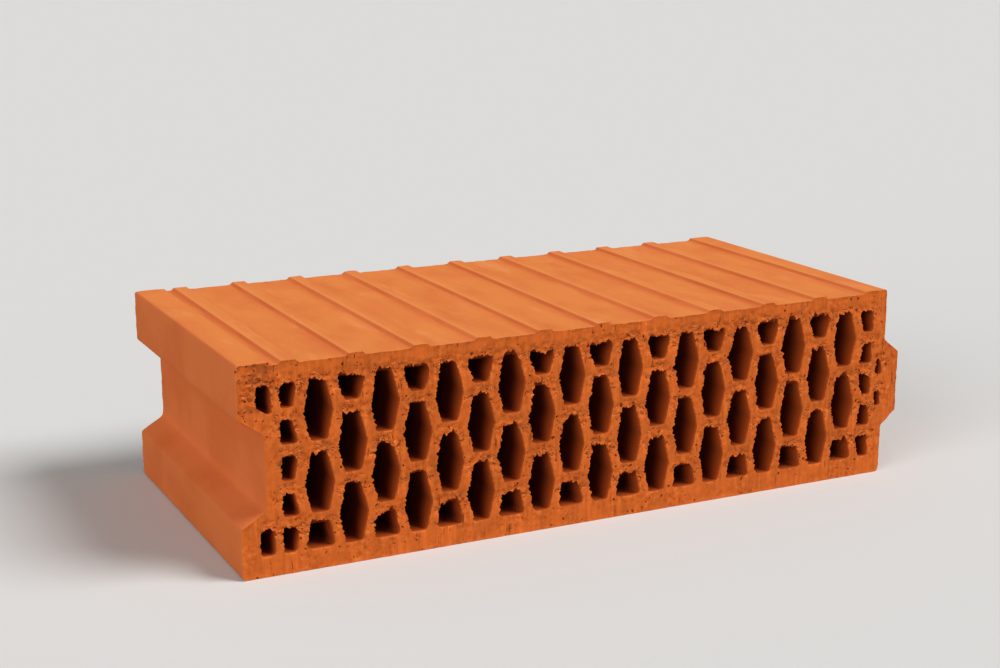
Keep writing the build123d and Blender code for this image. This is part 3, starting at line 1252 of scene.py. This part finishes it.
    def carved(self, carving: Carving, shape: Any, tool: Any) -> bpy.types.Node:
        """Cuts solids away from a shape, or adds them to it.

        Args:
            carving: Which of the two is done.
            shape: The shape.
            tool: The solids.

        Returns:
            The new shape.
        """
        node = self.g.node("GeometryNodeMeshBoolean", operation=carving.value, solver="MANIFOLD")
        self.g.feed(node.inputs["Mesh 1" if carving is Carving.CUT_AWAY else "Mesh 2"], shape)
        self.g.feed(node.inputs["Mesh 2"], tool)
        return node

    def grown(self) -> bpy.types.NodeTree:
        """Adds all nodes, from the body to the finished block.

        Returns:
            The tree.
        """
        g = self.g
        body = self.weathered_body()
        mouths = [self.mouths(cut_side) for cut_side in CutSide]
        shape = self.carved(Carving.CUT_AWAY, body, [self.shafts(), *mouths])
        shape = self.carved(Carving.CUT_AWAY, shape, self.pits(body))
        shape = self.carved(Carving.ADD_ON, shape, self.crumbs(shape))
        shape = self.creased(g.node("GeometryNodeRealizeInstances", {"Geometry": self.whole(shape)}))
        shape = g.node("GeometryNodeSetMaterial", {"Geometry": shape, "Material": self.sizes["Clay"]})
        g.node("NodeGroupOutput", {0: shape})
        return self.tree


@dataclass(frozen=True)
class Lamp:
    """A broad soft lamp, far away: where it is, how bright it renders white, and its width in degrees."""

    name: str
    place: Triple
    level: float
    width: float

    def hang(self) -> None:
        """Adds the lamp to the scene."""
        data = bpy.data.lights.new(self.name, "SUN")
        data.energy = math.pi * self.level
        data.angle = math.radians(self.width)
        lamp = linked(self.name, data)
        lamp.location = self.place
        lamp.rotation_euler = (-lamp.location).to_track_quat("-Z", "Y").to_euler()


@dataclass
class Studio:
    """Pale floor, soft light and the camera."""

    floor_level: float
    floor_reach: float = 14.0
    floor_sides: int = 96
    floor_tone: Colour = (0.76, 0.755, 0.74)
    floor_bounce: Colour = (0.28, 0.278, 0.27)
    sky_tone: Colour = (1.0, 0.99, 0.97)
    sky_light: float = 0.18
    sky_shown: float = 0.84
    lamps: tuple[Lamp, ...] = (
        Lamp("right", (0.57, -0.42, 0.71), 0.83, 30.0),
        Lamp("left", (-0.82, -0.42, 0.34), 0.50, 40.0),
    )
    camera_place: Triple = (-0.549, -1.088, 0.405)
    camera_pitch: float = -13.74
    camera_yaw: float = -26.36
    camera_near: float = 0.01
    lens: float = 61.4
    sensor: float = 36.0

    @staticmethod
    def shown(g: Graph) -> Socket:
        """Tells rays that show the studio itself from those that light the object.

        Args:
            g: Nodes of the floor or the sky.

        Returns:
            1 for rays that show the studio, and 0 for the others.
        """
        path = g.node("ShaderNodeLightPath")
        direct = g.math("MAXIMUM", path.outputs["Is Camera Ray"], path.outputs["Is Glossy Ray"])
        return g.math("MAXIMUM", direct, path.outputs["Is Transmission Ray"])

    def floor(self) -> bpy.types.Object:
        """Makes the floor, which looks pale but throws little light back at the object.

        Returns:
            A large disc under the object.
        """
        corners = [(self.floor_reach * math.cos(turn), self.floor_reach * math.sin(turn), self.floor_level)
                   for turn in np.linspace(0.0, 2 * math.pi, self.floor_sides, endpoint=False)]
        mesh = bpy.data.meshes.new("floor")
        mesh.from_pydata(corners, [], [range(len(corners))])
        paint = bpy.data.materials.new("pale_floor")
        paint.use_nodes = True
        g = Graph(paint.node_tree)
        tone = g.blend(self.shown(g), self.floor_bounce, self.floor_tone)
        shader = g.node("ShaderNodeBsdfDiffuse", {"Color": tone})
        g.node("ShaderNodeOutputMaterial", {"Surface": shader})
        mesh.materials.append(paint)
        floor = linked("floor", mesh)
        return floor

    def light(self) -> None:
        """Adds the lamps and a dim sky that shows as pale as the floor."""
        world = bpy.data.worlds.new("studio")
        world.use_nodes = True
        g = Graph(world.node_tree)
        strength = g.math("MULTIPLY_ADD", self.shown(g), self.sky_shown - self.sky_light, self.sky_light)
        sky = g.node("ShaderNodeBackground", {"Color": (*self.sky_tone, 1.0), "Strength": strength})
        g.node("ShaderNodeOutputWorld", {"Surface": sky})
        bpy.context.scene.world = world
        for lamp in self.lamps:
            lamp.hang()

    def camera(self) -> None:
        """Adds the camera, level across and looking slightly down."""
        lens = bpy.data.cameras.new("camera")
        lens.lens = self.lens
        lens.sensor_width = self.sensor
        lens.clip_start = self.camera_near
        camera = linked("camera", lens)
        camera.location = self.camera_place
        camera.rotation_euler = (math.radians(90.0 + self.camera_pitch), 0.0, math.radians(self.camera_yaw))
        bpy.context.scene.camera = camera


def main() -> None:
    """Builds the block and its studio."""
    logging.basicConfig(level=logging.INFO, format="%(name)s: %(message)s")
    bpy.context.scene.view_settings.view_transform = "Standard"
    section = Section.of_node(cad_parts["clay_block"], CAD_LOW.y)
    log.info("section: %d outline points, %d cells", len(section.outline), len(section.cells))
    piece = ClayBlock(section, CAD_LOW, CAD_HIGH).build()
    piece.data.calc_loop_triangles()
    log.info("%s: %d triangles", piece.name, len(piece.data.loop_triangles))
    studio = Studio(CAD_LOW.z)
    studio.floor()
    studio.light()
    studio.camera()


if __name__ == "__main__":
    main()
